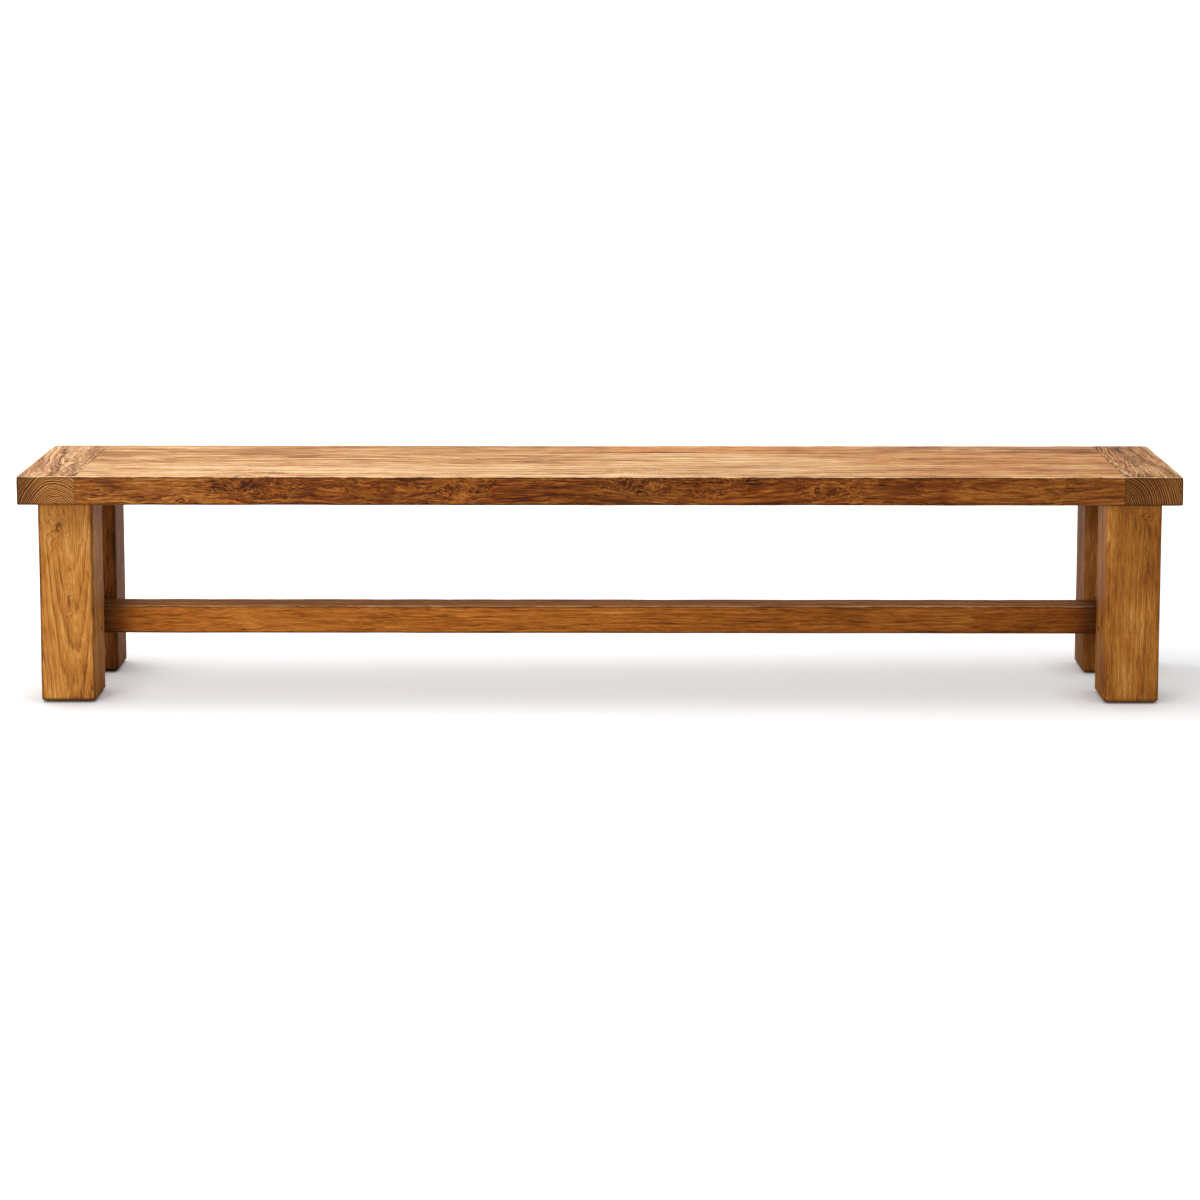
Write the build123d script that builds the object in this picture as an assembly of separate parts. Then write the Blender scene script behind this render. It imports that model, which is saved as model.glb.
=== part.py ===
"""Long rustic bench in solid teak, drawn in millimetres.

Three thick planks make the seat. A breadboard end crosses them at each end and
keeps them flat. Four square legs stand under the corners. A cross rail joins
the two legs of each end near the floor, and one long stretcher joins the cross
rails. Every joint is a mortise and tenon, and pegs lock the tenons.

X runs along the bench, Y from front to back and Z up. The origin is on the
floor, under the middle of the seat.
"""

from build123d import *
import os

# Whole bench
seat_length = 2300.0  # over both breadboard ends
seat_height = 460.0  # floor to sitting face
seat_thickness = 58.0

# Where the legs stand under the seat
end_overhang = 38.0  # seat end to outer leg face
side_overhang = 13.0  # seat edge to outer leg face

# Seat planks, named from the front
front_plank_width = 150.0
middle_plank_width = 132.0
back_plank_width = 98.0
seat_edge_radius = 3.0  # worn upper edges round the seat
seat_lower_easing = 1.5  # chamfer on the lower edges
seat_corner_radius = 5.0  # upright corners at the seat's ends
joint_easing = 0.5  # small chamfer where two boards meet

# Tongues and tenons on the plank ends
tongue_length = 14.0
tongue_thickness = 18.0
tongue_stop = 22.0  # from the seat's edge, so that the tongue stays hidden
plank_tenon_length = 32.0
plank_tenon_width_share = 0.5  # of the plank's own width
tenon_wall = 8.0  # wood in the breadboard between these tenons and the legs'
season_room = 2.0  # side room for the outer planks to swell and shrink

# Loose tenons in the glued edge joints
slip_tenon_length = 60.0  # along the joint
slip_tenon_width = 50.0  # across the joint, half of it in each plank
slip_tenon_thickness = 12.0
slip_tenon_count = 8
slip_tenon_end_distance = 120.0  # plank shoulder to the middle of the first tenon

# Legs
leg_width = 110.0  # along X
leg_depth = 110.0  # along Y
leg_corner_radius = 9.0
leg_foot_easing = 4.0  # chamfer that keeps the foot from splintering
leg_tenon_inset = 8.0  # outer leg face to tenon
leg_tenon_thickness = 30.0
leg_tenon_width = 70.0
leg_tenon_cover = 22.0  # wood left above the tenon, so that none shows on the seat

# Stock of all three rails: the two cross rails and the long stretcher
rail_width = 66.0
rail_height = 58.0
rail_edge_radius = 4.0
rail_floor_clearance = 108.0  # floor to underside

# Tenons of the cross rails, in the legs
rail_tenon_thickness = 22.0
rail_tenon_height = 42.0
rail_tenon_length = 64.0

# Tenons of the stretcher, in the cross rails
stretcher_tenon_width = 46.0
stretcher_tenon_thickness = 22.0
stretcher_tenon_length = 44.0

# Pegs that lock the tenons
peg_diameter = 8.0
peg_bite = 8.0  # how far a peg goes on past its tenon
rail_peg_share = 0.62  # of the rail tenon's length, from its shoulder

# Glides nailed under the legs
glide_diameter = 32.0
glide_thickness = 3.0
glide_easing = 0.8
nail_width = 3.0  # of a square cut nail, under its head
nail_tip_width = 1.6
nail_length = 18.0

# Fits
glue_gap = 0.1  # each side of a tongue, tenon, peg or nail
end_gap = 0.8  # space for glue beyond the end of a tenon or peg
tenon_lead_in = 2.0  # chamfer round the end of a tenon
cut_overrun = 1.0  # how far a cutter starts outside the wood

# Planes and levels that several pieces share
seat_depth = front_plank_width + middle_plank_width + back_plank_width
seat_underside = seat_height - seat_thickness
seat_mid_height = seat_height - seat_thickness / 2
leg_tenon_reach = end_overhang + leg_tenon_inset + leg_tenon_thickness  # in from the seat's end
breadboard_width = leg_tenon_reach + tenon_wall + plank_tenon_length
shoulder_x = seat_length / 2 - breadboard_width
front_y = -seat_depth / 2
front_joint_y = front_y + front_plank_width
back_joint_y = front_joint_y + middle_plank_width
back_y = seat_depth / 2
leg_x = seat_length / 2 - end_overhang - leg_width / 2
leg_y = seat_depth / 2 - side_overhang - leg_depth / 2
leg_tenon_x = leg_x + leg_width / 2 - leg_tenon_inset - leg_tenon_thickness / 2
leg_tenon_top = seat_height - leg_tenon_cover
rail_shoulder_y = leg_y - leg_depth / 2
rail_z = rail_floor_clearance + rail_height / 2
stretcher_shoulder_x = leg_x - rail_width / 2

# Lengths of the pegs; each starts flush with the face it is driven into
seat_peg_length = seat_thickness / 2 + tongue_thickness / 2 + peg_bite
rail_peg_length = leg_width / 2 + rail_tenon_thickness / 2 + peg_bite
stretcher_peg_length = rail_height / 2 + stretcher_tenon_thickness / 2 + peg_bite

# Where the pegs and the glide of the right end and its back leg start
seat_peg_x = shoulder_x + plank_tenon_length / 2
rail_peg_y = rail_shoulder_y + rail_tenon_length * rail_peg_share
rail_peg_place = Pos(leg_x - leg_width / 2, rail_peg_y, rail_z) * Rot(0, 90, 0)
stretcher_peg_place = Pos(stretcher_shoulder_x + stretcher_tenon_length / 2, 0, rail_floor_clearance)
glide_place = Pos(leg_x, leg_y, 0)

plank_sides = {
    "front": (front_y, front_joint_y),
    "middle": (front_joint_y, back_joint_y),
    "back": (back_joint_y, back_y),
}


# Shapes that many pieces need


def around(middle, size, gap=0.0):
    """The two planes of a piece of that size about a middle, with a gap outside each."""
    return middle - size / 2 - gap, middle + size / 2 + gap


def block(x_span, y_span, z_span):
    """A squared block between three pairs of planes."""
    spans = (x_span, y_span, z_span)
    sizes = [high - low for low, high in spans]
    centre = [(high + low) / 2 for low, high in spans]
    return Pos(*centre) * Box(*sizes)


def eased_end(tenon, axis, end):
    """A tenon with its end chamfered; end is 0 for the low end on the axis, -1 for the high end."""
    end_face = tenon.faces().sort_by(axis)[end]
    return chamfer(end_face.edges(), tenon_lead_in)


def peg(length):
    """A round peg driven in from the origin, with its outer end cut flush."""
    return extrude(Circle(peg_diameter / 2), amount=length)


def peg_hole(length):
    """The drilled hole for such a peg; it starts outside the wood."""
    drill = extrude(Circle(peg_diameter / 2 + glue_gap), amount=length + end_gap + cut_overrun)
    return Pos(0, 0, -cut_overrun) * drill


def both_ends(piece):
    """The same piece at the left and the right end of the bench."""
    return {"left": mirror(piece, about=Plane.YZ), "right": piece}


# Seat planks


def plank_middle(name):
    """The Y of a plank's centre line, where its tenons and pegs are."""
    return sum(plank_sides[name]) / 2


def plank_tenon_width(name):
    """The width of the long tenon on each end of a plank."""
    front, back = plank_sides[name]
    return (back - front) * plank_tenon_width_share


def plank_section(name):
    """A plank's section, worn round at the seat's edge and eased where it meets another plank."""
    front, back = plank_sides[name]
    section = Rectangle(back - front, seat_thickness)
    joint_sides = {"front": (-1,), "middle": (0, -1), "back": (0,)}
    for side in joint_sides[name]:
        section = chamfer(section.vertices().group_by(Axis.X)[side], joint_easing)
    open_sides = {"front": (0,), "middle": (), "back": (-1,)}
    for side in open_sides[name]:
        upper_corner = section.vertices().group_by(Axis.X)[side].sort_by(Axis.Y)[-1]
        section = fillet(upper_corner, seat_edge_radius)
        lower_corner = section.vertices().group_by(Axis.X)[side].sort_by(Axis.Y)[0]
        section = chamfer(lower_corner, seat_lower_easing)
    return Pos(plank_middle(name), seat_mid_height) * section


def plank_tongue(name):
    """The tongue on a plank's two ends, one block that runs through the plank."""
    front, back = plank_sides[name]
    stops = {"front": (tongue_stop, 0), "middle": (0, 0), "back": (0, tongue_stop)}
    front_stop, back_stop = stops[name]
    reach = shoulder_x + tongue_length
    thickness = around(seat_mid_height, tongue_thickness)
    return block((-reach, reach), (front + front_stop, back - back_stop), thickness)


def plank_tenon(name):
    """The long tenon on a plank's two ends, one block that runs through the plank."""
    reach = shoulder_x + plank_tenon_length
    width = around(plank_middle(name), plank_tenon_width(name))
    tenon = block((-reach, reach), width, around(seat_mid_height, tongue_thickness))
    return eased_end(eased_end(tenon, Axis.X, 0), Axis.X, -1)


def tenon_peg_hole(name):
    """The peg hole through a plank's tenon, a slot where the plank has room to creep."""
    width = peg_diameter + 2 * glue_gap
    outline = Circle(width / 2)
    if name != "middle":
        outline = Rot(0, 0, 90) * SlotOverall(width + 2 * season_room, width)
    hole = extrude(outline, amount=tongue_thickness / 2 + cut_overrun, both=True)
    return Pos(seat_peg_x, plank_middle(name), seat_mid_height) * hole


def slip_tenon():
    """One loose tenon about the origin, with its two glued ends eased."""
    tenon = Box(slip_tenon_length, slip_tenon_width, slip_tenon_thickness)
    return eased_end(eased_end(tenon, Axis.Y, 0), Axis.Y, -1)


def slip_mortise():
    """The space that one loose tenon needs in the two planks."""
    return Box(
        slip_tenon_length + 2 * glue_gap,
        slip_tenon_width + 2 * end_gap,
        slip_tenon_thickness + 2 * glue_gap,
    )


def along_joint(piece, joint_y):
    """Copies of a loose tenon, or of its mortise, spaced along one edge joint."""
    first_x = slip_tenon_end_distance - shoulder_x
    pitch = -2 * first_x / (slip_tenon_count - 1)
    return [Pos(first_x + i * pitch, joint_y, seat_mid_height) * piece for i in range(slip_tenon_count)]


def seat_plank(name):
    """One plank with its tongues, tenons, peg holes and the mortises of its edge joints."""
    board = extrude(Plane.YZ * plank_section(name), amount=shoulder_x, both=True)
    for end in (0, -1):
        board = chamfer(board.faces().sort_by(Axis.X)[end].edges(), joint_easing)
    board += plank_tongue(name) + plank_tenon(name)
    for hole in both_ends(tenon_peg_hole(name)).values():
        board -= hole
    for joint_y in (front_joint_y, back_joint_y):
        if joint_y in plank_sides[name]:
            board -= along_joint(slip_mortise(), joint_y)
    return board


# Breadboard ends and the pegs that hold the planks


def breadboard_blank():
    """The right breadboard before its joints are cut, rounded at the seat's end."""
    width = breadboard_width
    outline = Pos(shoulder_x + width / 2, 0) * Rectangle(width, seat_depth)
    outline = fillet(outline.vertices().group_by(Axis.X)[-1], seat_corner_radius)
    blank = Pos(0, 0, seat_underside) * extrude(outline, amount=seat_thickness)
    upper_rim = blank.faces().sort_by(Axis.Z)[-1].edges().sort_by(Axis.X)[1:]
    blank = fillet(upper_rim, seat_edge_radius)
    lower_rim = blank.faces().sort_by(Axis.Z)[0].edges().sort_by(Axis.X)[1:]
    blank = chamfer(lower_rim, seat_lower_easing)
    shoulder_edges = blank.faces().sort_by(Axis.X)[0].edges()
    return chamfer(shoulder_edges, joint_easing)


def tongue_groove():
    """The stopped groove that takes the three tongues."""
    depth = tongue_length + end_gap
    length = seat_depth - 2 * tongue_stop
    return block(
        (shoulder_x - cut_overrun, shoulder_x + depth),
        around(0, length, season_room),
        around(seat_mid_height, tongue_thickness, glue_gap),
    )


def plank_mortise(name):
    """The mortise for one plank's long tenon; the middle plank fits tightly and stays central."""
    side_room = glue_gap if name == "middle" else season_room
    return block(
        (shoulder_x - cut_overrun, shoulder_x + plank_tenon_length + end_gap),
        around(plank_middle(name), plank_tenon_width(name), side_room),
        around(seat_mid_height, tongue_thickness, glue_gap),
    )


def seat_peg_places():
    """Where the pegs go in from under the right breadboard, one to each plank."""
    return [Pos(seat_peg_x, plank_middle(name), seat_underside) for name in plank_sides]


def seat_pegs():
    """The three pegs of the right breadboard."""
    return [place * peg(seat_peg_length) for place in seat_peg_places()]


def breadboard():
    """The right breadboard with its groove, mortises and peg holes."""
    board = breadboard_blank() - tongue_groove()
    for name in plank_sides:
        board -= plank_mortise(name)
    for place in seat_peg_places():
        board -= place * peg_hole(seat_peg_length)
    for y in (-leg_y, leg_y):
        board -= Pos(0, y, 0) * leg_mortise()
    return board


# Legs


def leg_tenon():
    """The tenon on a right leg's top, for a leg in the middle of the seat's depth."""
    thickness = around(leg_tenon_x, leg_tenon_thickness)
    tenon = block(thickness, around(0, leg_tenon_width), (seat_underside, leg_tenon_top))
    return eased_end(tenon, Axis.Z, -1)


def leg_mortise():
    """The mortise for that tenon, cut up into the breadboard."""
    return block(
        around(leg_tenon_x, leg_tenon_thickness, glue_gap),
        around(0, leg_tenon_width, glue_gap),
        (seat_underside - cut_overrun, leg_tenon_top + end_gap),
    )


def leg_blank():
    """A square post with rounded corners and an eased foot, from its glide to the seat."""
    outline = RectangleRounded(leg_width, leg_depth, leg_corner_radius)
    post = Pos(leg_x, 0, glide_thickness) * extrude(outline, amount=seat_underside - glide_thickness)
    return chamfer(post.faces().sort_by(Axis.Z)[0].edges(), leg_foot_easing)


def rail_mortise():
    """The mortise for a cross rail, cut into the front face of the back leg."""
    return block(
        around(leg_x, rail_tenon_thickness, glue_gap),
        (rail_shoulder_y - cut_overrun, rail_shoulder_y + rail_tenon_length + end_gap),
        around(rail_z, rail_tenon_height, glue_gap),
    )


def back_leg():
    """The right back leg; the other three are its mirror images."""
    post = Pos(0, leg_y, 0) * (leg_blank() + leg_tenon())
    post -= rail_mortise()
    post -= rail_peg_place * peg_hole(rail_peg_length)
    return post - glide_place * nail(glue_gap, end_gap)


# Floor glides


def nail(side_gap=0.0, tip_gap=0.0):
    """The square, tapered nail of a glide on the origin, or its hole with gaps about it."""
    head = Rectangle(nail_width + 2 * side_gap, nail_width + 2 * side_gap)
    tip = Rectangle(nail_tip_width + 2 * side_gap, nail_tip_width + 2 * side_gap)
    return Pos(0, 0, glide_thickness) * loft([head, Pos(0, 0, nail_length + tip_gap) * tip])


def floor_glide():
    """A disc with its nail, standing on the origin."""
    disc = extrude(Circle(glide_diameter / 2), amount=glide_thickness)
    disc = chamfer(disc.faces().sort_by(Axis.Z)[0].edges(), glide_easing)
    return disc + nail()


# Cross rails


def rail_section():
    """The section of the stock of all three rails."""
    return RectangleRounded(rail_width, rail_height, rail_edge_radius)


def cross_rail():
    """The right cross rail with its tenons, peg holes and the stretcher's mortise."""
    section = Pos(leg_x, 0, rail_z) * Rot(90, 0, 0) * rail_section()
    rail = extrude(section, amount=rail_shoulder_y, both=True)
    reach = rail_shoulder_y + rail_tenon_length
    tenon = block(
        around(leg_x, rail_tenon_thickness),
        (-reach, reach),
        around(rail_z, rail_tenon_height),
    )
    rail += eased_end(eased_end(tenon, Axis.Y, 0), Axis.Y, -1)
    hole = rail_peg_place * peg_hole(rail_peg_length)
    rail = rail - hole - mirror(hole, about=Plane.XZ)
    return rail - stretcher_mortise() - stretcher_peg_place * peg_hole(stretcher_peg_length)


def rail_pegs():
    """The two pegs of the right cross rail, flush with the inner faces of the legs."""
    back_peg = rail_peg_place * peg(rail_peg_length)
    return [back_peg, mirror(back_peg, about=Plane.XZ)]


# Long stretcher


def stretcher():
    """The stretcher with a tenon at each end and a peg hole through each tenon."""
    section = Plane.YZ * Pos(0, rail_z) * rail_section()
    beam = extrude(section, amount=stretcher_shoulder_x, both=True)
    reach = stretcher_shoulder_x + stretcher_tenon_length
    tenon = block(
        (-reach, reach),
        around(0, stretcher_tenon_width),
        around(rail_z, stretcher_tenon_thickness),
    )
    beam += eased_end(eased_end(tenon, Axis.X, 0), Axis.X, -1)
    right_hole = stretcher_peg_place * peg_hole(stretcher_peg_length)
    for hole in both_ends(right_hole).values():
        beam -= hole
    return beam


def stretcher_mortise():
    """The mortise for the stretcher in the inner face of the right cross rail."""
    return block(
        (stretcher_shoulder_x - cut_overrun, stretcher_shoulder_x + stretcher_tenon_length + end_gap),
        around(0, stretcher_tenon_width, glue_gap),
        around(rail_z, stretcher_tenon_thickness, glue_gap),
    )


# The whole bench


def pieces():
    """Every node of the bench by name."""
    nodes = {f"seat_plank_{name}": seat_plank(name) for name in plank_sides}
    nodes["stretcher"] = stretcher()

    for name, joint_y in (("front", front_joint_y), ("back", back_joint_y)):
        nodes[f"slip_tenons_{name}"] = Compound(children=along_joint(slip_tenon(), joint_y))

    leg = back_leg()
    at_each_end = {
        "breadboard": breadboard(),
        "leg_back": leg,
        "leg_front": mirror(leg, about=Plane.XZ),
        "cross_rail": cross_rail(),
        "seat_pegs": Compound(children=seat_pegs()),
        "rail_pegs": Compound(children=rail_pegs()),
    }
    for name, piece in at_each_end.items():
        for end, copy in both_ends(piece).items():
            nodes[f"{name}_{end}"] = copy

    stretcher_peg = stretcher_peg_place * peg(stretcher_peg_length)
    nodes["stretcher_pegs"] = Compound(children=list(both_ends(stretcher_peg).values()))

    glide = glide_place * floor_glide()
    glides = [copy for side in (glide, mirror(glide, about=Plane.XZ)) for copy in both_ends(side).values()]
    nodes["floor_glides"] = Compound(children=glides)
    return nodes


os.makedirs("parts", exist_ok=True)
for node, shape in pieces().items():
    export_step(shape, f"parts/{node}.step")
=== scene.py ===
"""A long rustic bench in solid teak: its boards, pegs and glides with their worn shapes and finishes.

X runs along the bench, Y from front to back and Z up, in metres. The origin is on the floor, under the middle of
the seat.
"""

from math import radians
import bmesh
import bpy
from mathutils import Euler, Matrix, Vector, noise


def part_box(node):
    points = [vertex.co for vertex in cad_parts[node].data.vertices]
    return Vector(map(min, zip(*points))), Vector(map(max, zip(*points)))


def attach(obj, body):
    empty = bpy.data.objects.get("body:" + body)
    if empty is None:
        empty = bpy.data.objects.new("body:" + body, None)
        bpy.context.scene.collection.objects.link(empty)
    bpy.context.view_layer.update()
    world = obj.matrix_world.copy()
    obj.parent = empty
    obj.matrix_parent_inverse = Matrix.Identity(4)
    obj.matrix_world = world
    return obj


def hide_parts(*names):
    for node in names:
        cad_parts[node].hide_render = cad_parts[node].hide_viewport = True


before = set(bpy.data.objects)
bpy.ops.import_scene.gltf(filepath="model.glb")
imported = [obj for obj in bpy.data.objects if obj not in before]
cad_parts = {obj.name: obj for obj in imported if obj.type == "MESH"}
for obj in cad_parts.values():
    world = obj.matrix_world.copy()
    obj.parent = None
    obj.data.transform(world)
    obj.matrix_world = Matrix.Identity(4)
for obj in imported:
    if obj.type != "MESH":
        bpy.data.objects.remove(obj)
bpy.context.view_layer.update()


# The three seat planks
# Old teak boards of full thickness, planed by hand and glued edge to edge. Years of use have rounded the front and
# back edges unevenly and left shallow hollows on the sitting face. Their tongues and tenons hide in the breadboards.

cut_pitch = 0.010  # between the cuts that let a timber bend along its grain
wave_depth = 0.0007  # hollows left by the hand plane
hollows_per_metre = 9
arris_reach = 0.009  # how far wear spreads from an edge
plank_edge_wear = 0.0018
joint_edge_wear = 0.0005
wear_waves_per_metre = 14  # places where an edge is worn more, then less
nicks_per_metre = 60
nick_floor = 0.3  # only the tips of the finest noise are nicks
lower_edge_share = 0.3  # lower edges are touched less
surface_tolerance = 1e-5
same_plane = radians(0.5)  # CAD faces that lie this flat to each other are joined before the cuts
sharp_corner = radians(40)


def plane_cuts(low, high, pitch, margin):
    """Even places for cuts between two ends, and one cut beside each end."""
    length = high - low
    count = max(1, round((length - 2 * margin) / pitch))
    step = (length - 2 * margin) / count
    return [low + margin + i * step for i in range(count + 1)]


def open_planes(low, high, shows):
    """The faces of a timber that show, each as its axis, its outward sign and its level."""
    planes = []
    for side in shows:
        axis = "XYZ".index(side[1])
        outward = 1 if side[0] == "+" else -1
        planes.append((axis, outward, high[axis] if outward > 0 else low[axis]))
    return planes


def undulation(place, waves_per_metre, octaves, roughness):
    """A smooth random height from nothing to about one, the same at the same place."""
    return 0.5 + 0.5 * noise.fractal(place * waves_per_metre, roughness, 2.0, octaves)


def nearness(depth, reach):
    """One on a face, fading smoothly to nothing at the reach."""
    share = min(max(1 - depth / reach, 0.0), 1.0)
    return share * share * (3 - 2 * share)


def worn_timber(node, low, high, shows, edge_wear, step=0.0, edge_grime_and_shade=1.5):
    """A CAD timber with its joinery, cut finely enough to carry the hollows of its faces and its worn edges.

    low and high are the corners of its squared body without tenons, and shows names the faces that aren't in a
    joint. step lowers those faces a little against the boards beside. The last argument is how strongly the edges
    are marked, kept as the attribute arris: grime from hands and painted shade on the rounded corners darken them,
    and on a sitting face wear and a painted highlight pale them.
    """
    work = bmesh.new()
    work.from_mesh(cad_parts[node].data)
    bmesh.ops.remove_doubles(work, verts=work.verts, dist=surface_tolerance)
    bmesh.ops.dissolve_limit(work, angle_limit=same_plane, verts=work.verts, edges=work.edges)
    for axis in range(3):
        normal = Vector((axis == 0, axis == 1, axis == 2))
        for place in plane_cuts(low[axis], high[axis], cut_pitch, arris_reach / 2):
            bmesh.ops.bisect_plane(
                work,
                geom=work.verts[:] + work.edges[:] + work.faces[:],
                dist=surface_tolerance,
                plane_co=normal * place,
                plane_no=normal,
            )
    planes = open_planes(low, high, shows)
    # The attribute arris marks the edges, which the teak darkens with grime and painted shade, and on sitting faces
    # pales with wear and a painted highlight.
    arris = work.verts.layers.float.new("arris")
    for vert in work.verts:
        depths = [outward * (level - vert.co[axis]) for axis, outward, level in planes]
        inside = all(low[i] - surface_tolerance < vert.co[i] < high[i] + surface_tolerance for i in range(3))
        if not inside or min(depths) > arris_reach:
            continue
        shift = Vector()
        for (axis, outward, level), depth in zip(planes, depths):
            hollow = wave_depth * undulation(vert.co, hollows_per_metre, octaves=3, roughness=1.0) + step
            shift[axis] -= outward * hollow * nearness(depth, arris_reach / 2)
        for first in range(len(planes)):
            for second in range(first + 1, len(planes)):
                if planes[first][0] == planes[second][0]:
                    continue
                near = nearness(depths[first], arris_reach) * nearness(depths[second], arris_reach)
                long_waves = undulation(vert.co, wear_waves_per_metre, octaves=4, roughness=0.8)
                nicks = max(0.0, noise.noise(vert.co * nicks_per_metre) - nick_floor)
                under = any(axis == 2 and outward < 0 for axis, outward, level in (planes[first], planes[second]))
                wear = edge_wear * near * (long_waves + nicks) * (lower_edge_share if under else 1.0)
                for axis, outward, level in (planes[first], planes[second]):
                    shift[axis] -= outward * wear
                vert[arris] = max(vert[arris], min(1.0, edge_grime_and_shade * near))
        vert.co += shift
    for face in work.faces:
        face.smooth = True
    for edge in work.edges:
        edge.smooth = edge.calc_face_angle(0.0) < sharp_corner
    mesh = bpy.data.meshes.new(node + "_teak")
    work.to_mesh(mesh)
    work.free()
    timber = bpy.data.objects.new(node + "_teak", mesh)
    bpy.context.scene.collection.objects.link(timber)
    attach(timber, "root")
    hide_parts(node)
    return timber


def stain(red, green, blue):
    """A colour mixed in sRGB, 0 to 255, as the linear values that a shader takes."""
    shares = (red / 255, green / 255, blue / 255)
    return tuple(s / 12.92 if s <= 0.04045 else ((s + 0.055) / 1.055) ** 2.4 for s in shares) + (1.0,)


def stains(*mixes):
    """A palette of stains, from dark to light."""
    return [stain(*mix) for mix in mixes]


def put(tree, kind, feeds=None, **settings):
    """The outputs of a new shader node; feeds sets its sockets to values, or links them to other nodes' outputs."""
    made = tree.nodes.new("ShaderNode" + kind)
    for setting, value in settings.items():
        setattr(made, setting, value)
    for socket, value in (feeds or {}).items():
        if isinstance(value, bpy.types.NodeSocket):
            tree.links.new(value, made.inputs[socket])
        else:
            made.inputs[socket].default_value = value
    return made.outputs


def sums(tree, how, *terms):
    """The result of one Math node."""
    return put(tree, "Math", dict(enumerate(terms)), operation=how)[0]


def vectors(tree, how, *terms):
    """The result of one Vector Math node: a vector, or the value of a length."""
    outputs = put(tree, "VectorMath", dict(enumerate(terms)), operation=how)
    return outputs[1] if how == "LENGTH" else outputs[0]


def fade(tree, value, start, end, low=0.0, high=1.0):
    """A smooth rise from low to high as a value goes from start to end."""
    feeds = {"Value": value, "From Min": start, "From Max": end, "To Min": low, "To Max": high}
    return put(tree, "MapRange", feeds, interpolation_type="SMOOTHSTEP")[0]


def mottle(tree, place, patches, seed, detail=3.0, roughness=0.55, colour=False):
    """Noise about a middle of 0.5, with so many patches to the metre along each axis of a place."""
    shift = seed if isinstance(seed, bpy.types.NodeSocket) else (seed, seed, seed)
    moved = vectors(tree, "MULTIPLY_ADD", place, patches, shift)
    outputs = put(tree, "TexNoise", {"Vector": moved, "Scale": 1.0, "Detail": detail, "Roughness": roughness})
    return outputs["Color"] if colour else outputs["Fac"]


def ramp(tree, value, stops, interpolation="LINEAR"):
    """A colour for a value, from stops of place and colour."""
    made = tree.nodes.new("ShaderNodeValToRGB")
    made.color_ramp.interpolation = interpolation
    while len(made.color_ramp.elements) < len(stops):
        made.color_ramp.elements.new(0.5)
    for element, (place, colour) in zip(made.color_ramp.elements, stops):
        element.position = place
        element.color = colour
    tree.links.new(value, made.inputs[0])
    return made.outputs["Color"]


def blend_colours(tree, share, first, second):
    """Two colours mixed by a share, on the sockets that a Mix node keeps for colours."""
    return put(tree, "Mix", {0: share, 6: first, 7: second}, data_type="RGBA")[2]


def grey(level):
    """A neutral colour of that level."""
    return (level, level, level, 1.0)


def node_group(name, takes, gives):
    """An empty group of shader nodes with its sockets."""
    tree = bpy.data.node_groups.new(name, "ShaderNodeTree")
    for in_out, sockets in (("INPUT", takes), ("OUTPUT", gives)):
        for label, kind in sockets.items():
            tree.interface.new_socket(label, in_out=in_out, socket_type="NodeSocket" + kind)
    return tree, tree.nodes.new("NodeGroupInput").outputs, tree.nodes.new("NodeGroupOutput").inputs


middle_grey = (0.5, 0.5, 0.5)


def make_growth():
    """How teak grew: years out from a wandering pith, and a place that follows the curling grain."""
    takes = {"Wood": "Vector", "Year width": "Float", "Wander": "Float", "Curl": "Float", "Lean": "Float",
             "Pull": "Float", "End grain": "Float", "Seed": "Float"}
    tree, given, result = node_group("teak_growth", takes, {"Year": "Float", "Flow": "Vector"})
    # The pith wanders slowly along the tree.
    slow = mottle(tree, given["Wood"], (7.0, 7.0, 1.3), given["Seed"], detail=1.5, roughness=0.5, colour=True)
    slow = vectors(tree, "MULTIPLY", vectors(tree, "SUBTRACT", slow, middle_grey), given["Wander"])
    # Ripples curl the fibres by 4 to 15 mm, more where the wood grew wild or by a knot, and least in end grain.
    ripple = mottle(tree, given["Wood"], (38.0, 38.0, 18.0), given["Seed"], detail=3.0, roughness=0.6, colour=True)
    ripple = vectors(tree, "SUBTRACT", ripple, middle_grey)
    wildness = mottle(tree, given["Wood"], (11.0, 11.0, 4.0), given["Seed"], detail=1.0)
    reach = sums(tree, "MULTIPLY", given["Curl"], fade(tree, wildness, 0.40, 0.62, low=0.004, high=0.015))
    reach = sums(tree, "MULTIPLY_ADD", given["Pull"], 0.030, reach)
    reach = sums(tree, "MULTIPLY", reach, sums(tree, "MULTIPLY_ADD", given["End grain"], -0.85, 1.0))
    shift = vectors(tree, "ADD", vectors(tree, "MULTIPLY", ripple, reach), slow)
    bent = vectors(tree, "MULTIPLY_ADD", shift, (1.0, 1.0, 0.0), given["Wood"])
    # A board sawn at a slant to the pith shows arches.
    along = put(tree, "SeparateXYZ", {0: given["Wood"]})["Z"]
    lean = put(tree, "CombineXYZ", {1: sums(tree, "MULTIPLY", along, given["Lean"])})[0]
    bent = vectors(tree, "ADD", bent, lean)
    radius = vectors(tree, "LENGTH", vectors(tree, "MULTIPLY", bent, (1.0, 1.0, 0.0)))
    # Good and poor years, and rings that swerve round a knot.
    feeds = {"W": sums(tree, "MULTIPLY_ADD", radius, 60.0, given["Seed"]), "Scale": 1.0, "Detail": 2.0}
    uneven = put(tree, "TexNoise", feeds, noise_dimensions="1D")["Fac"]
    year = sums(tree, "DIVIDE", radius, given["Year width"])
    year = sums(tree, "MULTIPLY_ADD", given["Pull"], 2.5, year)
    year = sums(tree, "MULTIPLY_ADD", uneven, 1.6, year)
    parts = put(tree, "SeparateXYZ", {0: bent})
    sideways = sums(tree, "MULTIPLY_ADD", parts["Y"], 1.4, parts["X"])
    flow = put(tree, "CombineXYZ", {0: radius, 1: sideways, 2: parts["Z"]})[0]
    tree.links.new(year, result["Year"])
    tree.links.new(flow, result["Flow"])
    return tree


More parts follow.
